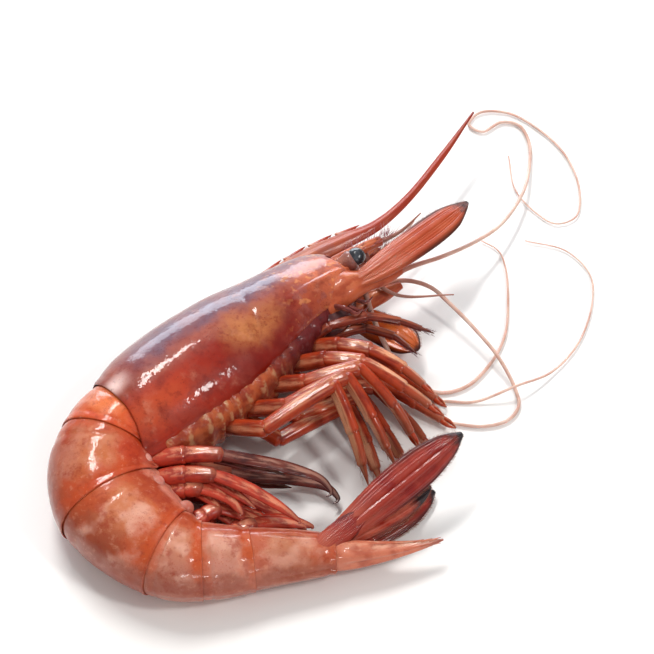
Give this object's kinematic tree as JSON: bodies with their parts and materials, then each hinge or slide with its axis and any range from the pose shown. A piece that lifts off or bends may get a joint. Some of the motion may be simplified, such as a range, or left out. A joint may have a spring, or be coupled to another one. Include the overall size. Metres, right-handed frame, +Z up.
{
  "type": "raw deep-water rose shrimp",
  "caption": "Whole raw rose shrimp in its shell, head on, lying on its side with the tail curled under, long thin beak and feelers.",
  "frame": {"origin": "middle of the footprint, on the surface that the shrimp lies on", "axes": "+Z up, out of the animal's right side; the head points towards +X and +Y, the tail fan towards +X; the long feelers lie on the surface"},
  "size_m": [0.0648, 0.0734, 0.0127],
  "materials": {
    "head_shell": "wet translucent shell, brownish crimson with a violet grey back",
    "tail_shell": "wet translucent shell over pale flesh, orange red along the rear edges",
    "limb": "wet thin shell, orange red",
    "fan_leaf": "wet thin shell, orange red with dark edges and tips",
    "feeler": "fine pale pink thread",
    "soft_flesh": "wet dark red soft tissue",
    "eye": "wet black"
  },
  "bodies": {
    "root": {"carapace": "head_shell", "abdomen_segment_1": "tail_shell", "abdomen_segment_2": "tail_shell", "abdomen_segment_3": "tail_shell", "abdomen_segment_4": "tail_shell", "abdomen_segment_5": "tail_shell", "abdomen_segment_6": "tail_shell", "telson": "tail_shell", "uropod_exopod_right": "fan_leaf", "uropod_endopod_right": "fan_leaf", "uropod_endopod_left": "fan_leaf", "uropod_exopod_left": "fan_leaf", "breast": "soft_flesh", "mouthparts": "soft_flesh", "eyestalk_right": "head_shell", "eyestalk_left": "head_shell", "eye_right": "eye", "eye_left": "eye", "antennal_scale_right": "fan_leaf", "antennal_scale_left": "fan_leaf", "antennule_right": "feeler", "antennule_left": "feeler", "antenna_right": "feeler", "antenna_left": "feeler", "jaw_leg_right": "limb", "jaw_leg_left": "limb", "leg_1_right": "limb", "leg_1_left": "limb", "leg_2_right": "limb", "leg_2_left": "limb", "leg_3_right": "limb", "leg_3_left": "limb", "leg_4_right": "limb", "leg_4_left": "limb", "leg_5_right": "limb", "leg_5_left": "limb", "swimmeret_1_right": "limb", "swimmeret_1_left": "limb", "swimmeret_2_right": "limb", "swimmeret_2_left": "limb", "swimmeret_3_right": "limb", "swimmeret_3_left": "limb", "swimmeret_4_right": "limb", "swimmeret_4_left": "limb", "swimmeret_5_right": "limb", "swimmeret_5_left": "limb"}
  },
  "joints": []
}
